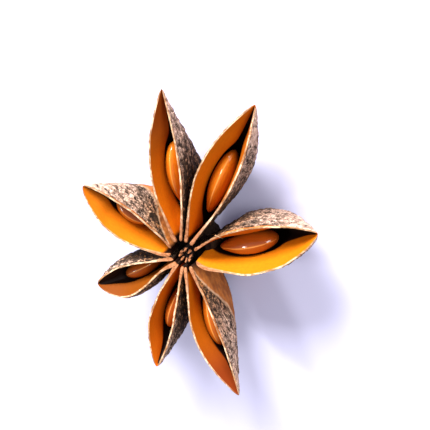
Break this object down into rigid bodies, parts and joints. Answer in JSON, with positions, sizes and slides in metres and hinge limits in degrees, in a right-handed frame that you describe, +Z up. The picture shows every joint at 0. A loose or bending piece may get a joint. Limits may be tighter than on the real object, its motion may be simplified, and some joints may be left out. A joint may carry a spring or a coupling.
{
  "type": "star anise pod",
  "caption": "Dried star-shaped spice fruit, lying open side up, with boat-shaped follicles split along their upper seams and a glossy seed lying in each.",
  "frame": {"origin": "under the middle of the whole outline seen from above, on the plane the pod lies on", "axes": "+Z up out of the open seams, +Y towards the long follicles, so that the pod is longest along Y and flattest along Z"},
  "size_m": [0.0284, 0.0378, 0.0094],
  "materials": {
    "husk": "dry woody husk, rough grey-brown and wrinkled outside, smooth orange-brown inside, with a pale torn rim",
    "seed": "polished hard seed coat, glossy amber brown"
  },
  "bodies": {
    "root": {"pod": "husk", "seed_1": "seed", "seed_2": "seed", "seed_3": "seed", "seed_4": "seed", "seed_5": "seed", "seed_6": "seed", "seed_7": "seed"}
  },
  "joints": []
}
